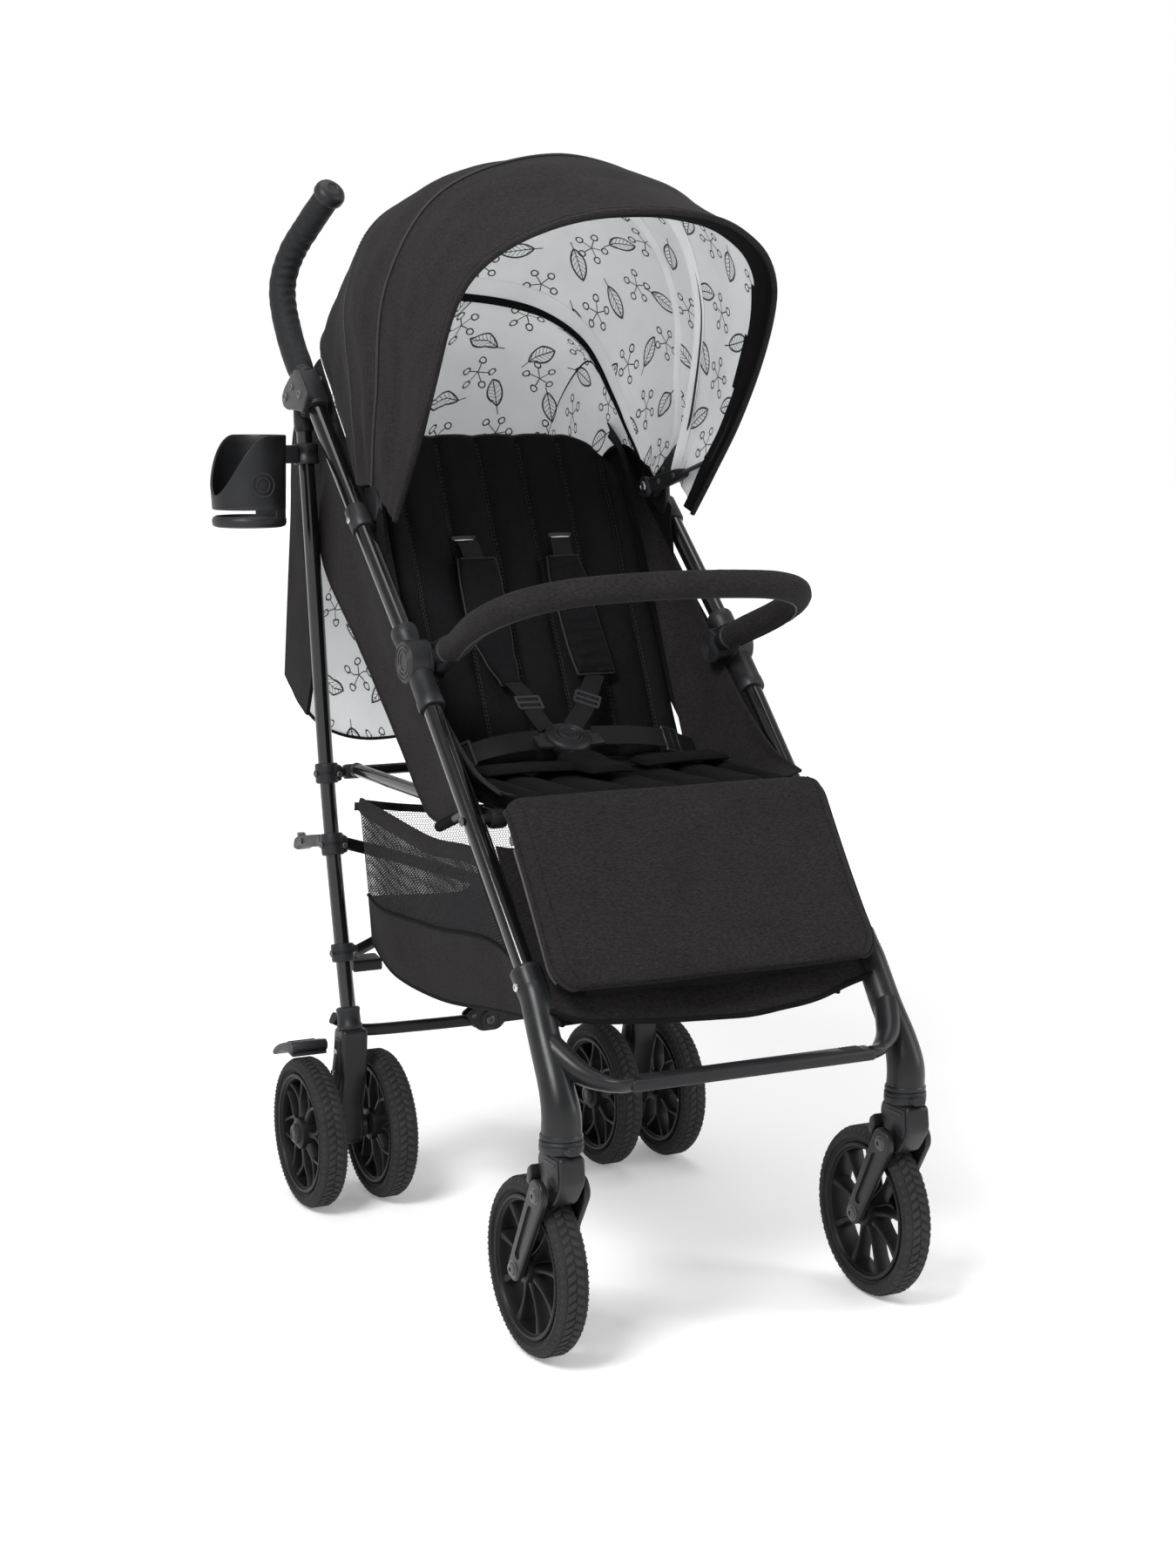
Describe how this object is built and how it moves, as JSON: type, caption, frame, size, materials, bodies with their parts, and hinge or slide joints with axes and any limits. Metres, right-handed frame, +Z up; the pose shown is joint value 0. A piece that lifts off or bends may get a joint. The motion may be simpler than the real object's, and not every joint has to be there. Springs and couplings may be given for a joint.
{
  "type": "pushchair",
  "caption": "Lightweight folding pushchair with curved handles, sunshade hood, padded seat with calf rest, bumper bar, harness, swivel front wheels, twin rear wheels, basket and cup holder.",
  "frame": {"origin": "on the ground, under the middle of the whole outline", "axes": "+Z up, the child faces -Y, +X is the child's left"},
  "size_m": [0.5541, 0.9122, 1.125],
  "materials": {
    "tube_black": "gloss black paint",
    "plastic_black": "fine moulded texture",
    "bracket_grey": "satin grey-black",
    "bright_steel": "plated",
    "tyre_rubber": "matt, moulded tread",
    "grip_foam": "soft foam",
    "fabric_charcoal": "fine woven polyester, charcoal",
    "fabric_black": "quilted woven, black",
    "fabric_print": null,
    "webbing_black": "ribbed webbing",
    "mesh_black": "open mesh and woven base"
  },
  "bodies": {
    "front_frame": {"push_tube_right": "tube_black", "push_tube_left": "tube_black", "front_leg_right": "tube_black", "front_leg_left": "tube_black", "elbow_right": "plastic_black", "elbow_left": "plastic_black", "grip_right": "grip_foam", "grip_left": "grip_foam", "handle_bracket_right": "bracket_grey", "handle_bracket_left": "bracket_grey", "front_casting_right": "plastic_black", "front_casting_left": "plastic_black", "hood_hinge_right": "plastic_black", "hood_hinge_left": "plastic_black", "footrest_bar": "plastic_black", "seat_liner": "fabric_black", "rear_curtain": "fabric_charcoal", "basket": "mesh_black", "buckle": "plastic_black", "lap_harness": "webbing_black"},
    "rear_frame": {"rear_leg_right": "tube_black", "rear_leg_left": "tube_black", "rear_housing_right": "plastic_black", "rear_housing_left": "plastic_black", "rear_cross_brace": "tube_black", "x_frame": "tube_black", "lower_brace": "plastic_black", "cup_holder": "plastic_black"},
    "seat_frame": {"seat_side_tube_right": "tube_black", "seat_side_tube_left": "tube_black"},
    "hood_middle": {"hood_bow_middle": "plastic_black", "hood_canopy": "fabric_charcoal"},
    "hood_front": {"hood_bow_front": "plastic_black"},
    "backrest": {"backrest_pad": "fabric_black", "shoulder_harness": "fabric_black"},
    "calf_rest": {"calf_pad": "fabric_charcoal"},
    "bumper": {"bumper_bar": "fabric_charcoal"},
    "fold_lever": {"fold_lever": "plastic_black"},
    "lock_pedal": {"lock_pedal": "plastic_black"},
    "buckle_button": {"buckle_button": "plastic_black"},
    "swivel_right": {"swivel_block_right": "plastic_black"},
    "swivel_lock_right": {"swivel_lock_right": "plastic_black"},
    "fork_right": {"suspension_fork_right": "plastic_black"},
    "front_wheel_right": {"front_tyre_right": "tyre_rubber", "front_rim_right": "plastic_black"},
    "rear_wheel_outer_right": {"rear_tyre_outer_right": "tyre_rubber", "rear_rim_outer_right": "plastic_black"},
    "rear_wheel_inner_right": {"rear_tyre_inner_right": "tyre_rubber", "rear_rim_inner_right": "plastic_black"},
    "brake_right": {"brake_pedal_right": "plastic_black"},
    "swivel_left": {"swivel_block_left": "plastic_black"},
    "swivel_lock_left": {"swivel_lock_left": "plastic_black"},
    "fork_left": {"suspension_fork_left": "plastic_black"},
    "front_wheel_left": {"front_tyre_left": "tyre_rubber", "front_rim_left": "plastic_black"},
    "rear_wheel_outer_left": {"rear_tyre_outer_left": "tyre_rubber", "rear_rim_outer_left": "plastic_black"},
    "rear_wheel_inner_left": {"rear_tyre_inner_left": "tyre_rubber", "rear_rim_inner_left": "plastic_black"},
    "brake_left": {"brake_pedal_left": "plastic_black"}
  },
  "joints": [
    {"name": "fold", "type": "hinge", "parent": "front_frame", "child": "rear_frame", "pos_m": [0.038, 0.236, 0.882], "axis": [-1, 0, 0], "range_deg": [0, 34], "deforming": ["seat_liner", "basket", "rear_curtain", "backrest_pad", "shoulder_harness", "lap_harness", "calf_pad"]},
    {"name": "seat_frame_fold", "type": "hinge", "parent": "front_frame", "child": "seat_frame", "pos_m": [0.038, -0.22, 0.482], "axis": [1, 0, 0], "range_deg": [0, 36.04]},
    {"name": "hood_fold", "type": "hinge", "parent": "front_frame", "child": "hood_middle", "pos_m": [0.038, 0.052, 0.785], "axis": [-1, 0, 0], "range_deg": [0, 40], "deforming": ["hood_canopy"]},
    {"name": "hood_front_fold", "type": "hinge", "parent": "hood_middle", "child": "hood_front", "pos_m": [0.038, 0.052, 0.785], "axis": [-1, 0, 0], "range_deg": [0, 24]},
    {"name": "recline", "type": "hinge", "parent": "front_frame", "child": "backrest", "pos_m": [0.038, -0.036, 0.484], "axis": [-1, 0, 0], "range_deg": [0, 35]},
    {"name": "calf_rest_lift", "type": "hinge", "parent": "front_frame", "child": "calf_rest", "pos_m": [0.038, -0.266, 0.474], "axis": [-1, 0, 0], "range_deg": [0, 50]},
    {"name": "bumper_turn", "type": "hinge", "parent": "front_frame", "child": "bumper", "pos_m": [0.038, -0.083, 0.622], "axis": [-1, 0, 0], "range_deg": [-30, 60]},
    {"name": "swivel_right", "type": "hinge", "parent": "front_frame", "child": "swivel_right", "pos_m": [-0.147, -0.421, 0.2089], "axis": [0, 0, 1], "continuous": true},
    {"name": "swivel_lock_right", "type": "hinge", "parent": "front_frame", "child": "swivel_lock_right", "pos_m": [-0.147, -0.421, 0.2212], "axis": [0, 0, -1], "range_deg": [0, 25]},
    {"name": "suspension_right", "type": "hinge", "parent": "swivel_right", "child": "fork_right", "pos_m": [-0.147, -0.417, 0.169], "axis": [1, 0, 0], "range_deg": [0, 6], "stiffness_Nm_per_rad": 12, "springref_deg": -11.46},
    {"name": "front_wheel_spin_right", "type": "hinge", "parent": "fork_right", "child": "front_wheel_right", "pos_m": [-0.147, -0.369, 0.085], "axis": [1, 0, 0], "continuous": true},
    {"name": "rear_wheel_spin_outer_right", "type": "hinge", "parent": "rear_frame", "child": "rear_wheel_outer_right", "pos_m": [-0.182, 0.141, 0.0825], "axis": [1, 0, 0], "continuous": true},
    {"name": "rear_wheel_spin_inner_right", "type": "hinge", "parent": "rear_frame", "child": "rear_wheel_inner_right", "pos_m": [-0.1, 0.141, 0.0825], "axis": [1, 0, 0], "continuous": true},
    {"name": "brake_right", "type": "hinge", "parent": "rear_frame", "child": "brake_right", "pos_m": [-0.1565, 0.156, 0.1755], "axis": [-1, 0, 0], "range_deg": [0, 14]},
    {"name": "swivel_left", "type": "hinge", "parent": "front_frame", "child": "swivel_left", "pos_m": [0.223, -0.421, 0.2089], "axis": [0, 0, 1], "continuous": true},
    {"name": "swivel_lock_left", "type": "hinge", "parent": "front_frame", "child": "swivel_lock_left", "pos_m": [0.223, -0.421, 0.2212], "axis": [0, 0, 1], "range_deg": [0, 25]},
    {"name": "suspension_left", "type": "hinge", "parent": "swivel_left", "child": "fork_left", "pos_m": [0.223, -0.417, 0.169], "axis": [1, 0, 0], "range_deg": [0, 6], "stiffness_Nm_per_rad": 12, "springref_deg": -11.46},
    {"name": "front_wheel_spin_left", "type": "hinge", "parent": "fork_left", "child": "front_wheel_left", "pos_m": [0.223, -0.369, 0.085], "axis": [1, 0, 0], "continuous": true},
    {"name": "rear_wheel_spin_outer_left", "type": "hinge", "parent": "rear_frame", "child": "rear_wheel_outer_left", "pos_m": [0.258, 0.141, 0.0825], "axis": [1, 0, 0], "continuous": true},
    {"name": "rear_wheel_spin_inner_left", "type": "hinge", "parent": "rear_frame", "child": "rear_wheel_inner_left", "pos_m": [0.176, 0.141, 0.0825], "axis": [1, 0, 0], "continuous": true},
    {"name": "brake_left", "type": "hinge", "parent": "rear_frame", "child": "brake_left", "pos_m": [0.2325, 0.156, 0.1755], "axis": [-1, 0, 0], "range_deg": [0, 14]},
    {"name": "fold_lever_press", "type": "hinge", "parent": "rear_frame", "child": "fold_lever", "pos_m": [-0.142, 0.182, 0.398], "axis": [-1, 0, 0], "range_deg": [0, 15], "stiffness_Nm_per_rad": 0.5, "springref_deg": -5.73},
    {"name": "lock_pedal_press", "type": "hinge", "parent": "rear_frame", "child": "lock_pedal", "pos_m": [-0.107, 0.1525, 0.26], "axis": [-1, 0, 0], "range_deg": [0, 15], "stiffness_Nm_per_rad": 0.5, "springref_deg": -5.73},
    {"name": "buckle_press", "type": "slide", "parent": "front_frame", "child": "buckle_button", "axis": [0, 0.4202, -0.9074], "range_m": [0, 0.004], "stiffness_N_per_m": 400, "springref_m": -0.002}
  ],
  "couplings": [
    {"joint": "seat_frame_fold", "follows": "fold", "ratio": 1.06},
    {"joint": "hood_front_fold", "follows": "hood_fold", "ratio": 0.6}
  ]
}
